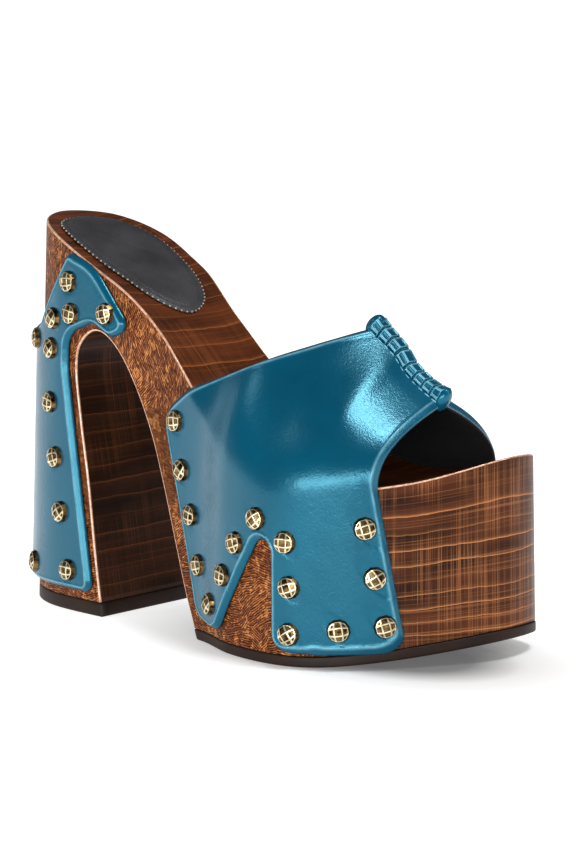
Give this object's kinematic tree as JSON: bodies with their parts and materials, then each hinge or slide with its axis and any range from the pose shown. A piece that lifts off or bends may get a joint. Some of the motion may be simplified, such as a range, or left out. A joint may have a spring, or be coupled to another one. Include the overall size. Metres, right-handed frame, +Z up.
{
  "type": "platform clog",
  "caption": "Backless high platform clog: carved wooden sole with block heel, open-toe leather vamp nailed to its sides, lashed centre seam, leather heel wrap and heel pad.",
  "frame": {"origin": "middle of the shoe's bounding box, on the floor", "axes": "+X from heel to toe, -Y towards the outer (little toe) side of the foot, +Z up"},
  "size_m": [0.223, 0.106, 0.1529],
  "materials": {
    "wood": "carved hardwood, stained brown and lacquered to a soft gloss",
    "sole_rubber": "dark brown rubber, matt",
    "blue_leather": "smooth coated calf, blue, soft gloss with a fine grain",
    "pad_leather": "charcoal grained leather",
    "stud_brass": "antique brass, faceted, darkened in the recesses"
  },
  "bodies": {
    "root": {"wood_body": "wood", "outsole": "sole_rubber", "top_lift": "sole_rubber", "upper": "blue_leather", "heel_wrap": "blue_leather", "centre_seam": "blue_leather", "insole_pad": "pad_leather", "stud_vamp_outer_01": "stud_brass", "stud_vamp_outer_02": "stud_brass", "stud_vamp_outer_03": "stud_brass", "stud_vamp_outer_04": "stud_brass", "stud_vamp_outer_05": "stud_brass", "stud_vamp_outer_06": "stud_brass", "stud_vamp_outer_07": "stud_brass", "stud_vamp_outer_08": "stud_brass", "stud_vamp_outer_09": "stud_brass", "stud_vamp_outer_10": "stud_brass", "stud_vamp_outer_11": "stud_brass", "stud_vamp_outer_12": "stud_brass", "stud_vamp_outer_13": "stud_brass", "stud_vamp_outer_14": "stud_brass", "stud_vamp_outer_15": "stud_brass", "stud_vamp_inner_01": "stud_brass", "stud_vamp_inner_02": "stud_brass", "stud_vamp_inner_03": "stud_brass", "stud_vamp_inner_04": "stud_brass", "stud_vamp_inner_05": "stud_brass", "stud_vamp_inner_06": "stud_brass", "stud_vamp_inner_07": "stud_brass", "stud_vamp_inner_08": "stud_brass", "stud_vamp_inner_09": "stud_brass", "stud_vamp_inner_10": "stud_brass", "stud_vamp_inner_11": "stud_brass", "stud_vamp_inner_12": "stud_brass", "stud_vamp_inner_13": "stud_brass", "stud_vamp_inner_14": "stud_brass", "stud_vamp_inner_15": "stud_brass", "stud_heel_outer_01": "stud_brass", "stud_heel_outer_02": "stud_brass", "stud_heel_outer_03": "stud_brass", "stud_heel_outer_04": "stud_brass", "stud_heel_outer_05": "stud_brass", "stud_heel_outer_06": "stud_brass", "stud_heel_outer_07": "stud_brass", "stud_heel_outer_08": "stud_brass", "stud_heel_outer_09": "stud_brass", "stud_heel_outer_10": "stud_brass", "stud_heel_outer_11": "stud_brass", "stud_heel_inner_01": "stud_brass", "stud_heel_inner_02": "stud_brass", "stud_heel_inner_03": "stud_brass", "stud_heel_inner_04": "stud_brass", "stud_heel_inner_05": "stud_brass", "stud_heel_inner_06": "stud_brass", "stud_heel_inner_07": "stud_brass", "stud_heel_inner_08": "stud_brass", "stud_heel_inner_09": "stud_brass", "stud_heel_inner_10": "stud_brass", "stud_heel_inner_11": "stud_brass"}
  },
  "joints": []
}
